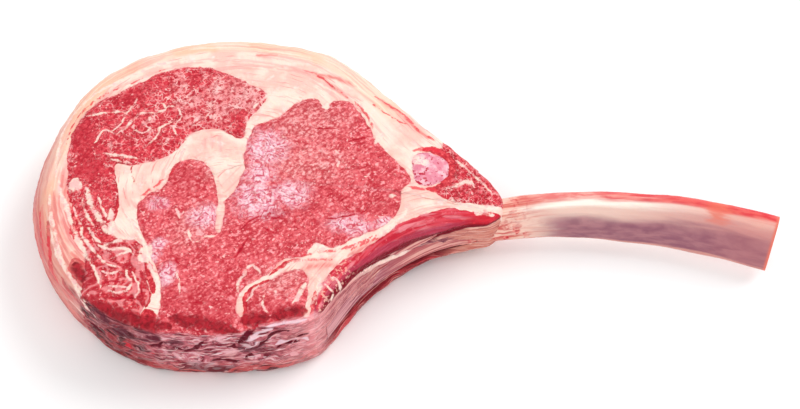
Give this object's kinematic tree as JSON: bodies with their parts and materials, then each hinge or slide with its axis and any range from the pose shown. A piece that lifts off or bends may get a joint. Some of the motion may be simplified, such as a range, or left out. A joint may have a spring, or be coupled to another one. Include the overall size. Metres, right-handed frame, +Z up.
{
  "type": "pork tomahawk chop",
  "caption": "Raw tomahawk chop lying on its cut face: a thick, round slice of loin with marbled muscles bedded in fat, and a long, curved, scraped rib left on as a handle",
  "frame": {"origin": "on the flat face it rests on, under the eye muscle", "axes": "+X along the rib to its sawn end, +Y to the fat cap on the back of the chop, +Z up, through the thickness of the slice"},
  "size_m": [0.2994, 0.1447, 0.035],
  "materials": {
    "bone": "damp, scraped bone, satin",
    "fat": "raw fat, pale cream-pink, soft sheen",
    "eye": "raw lean meat, fine grain, wet sheen",
    "cap": "raw lean meat, close marbling, wet sheen",
    "rolled": "raw lean meat with curled streaks of fat, wet sheen",
    "rib_side": "raw lean meat, wet sheen",
    "intercostal_upper": "raw lean meat under thin membrane, wet sheen",
    "intercostal_lower": "raw lean meat, dark red, wet sheen",
    "tail": "raw lean meat, coarse marbling, wet sheen",
    "gristle": "pale pink gristle, wet sheen"
  },
  "bodies": {
    "root": {"rib_bone": "bone", "fat": "fat", "eye_muscle": "eye", "cap_muscle": "cap", "rolled_muscle": "rolled", "rib_side_muscle": "rib_side", "intercostal_muscle_upper": "intercostal_upper", "intercostal_muscle_lower": "intercostal_lower", "tail_muscle": "tail", "gristle": "gristle"}
  },
  "joints": []
}
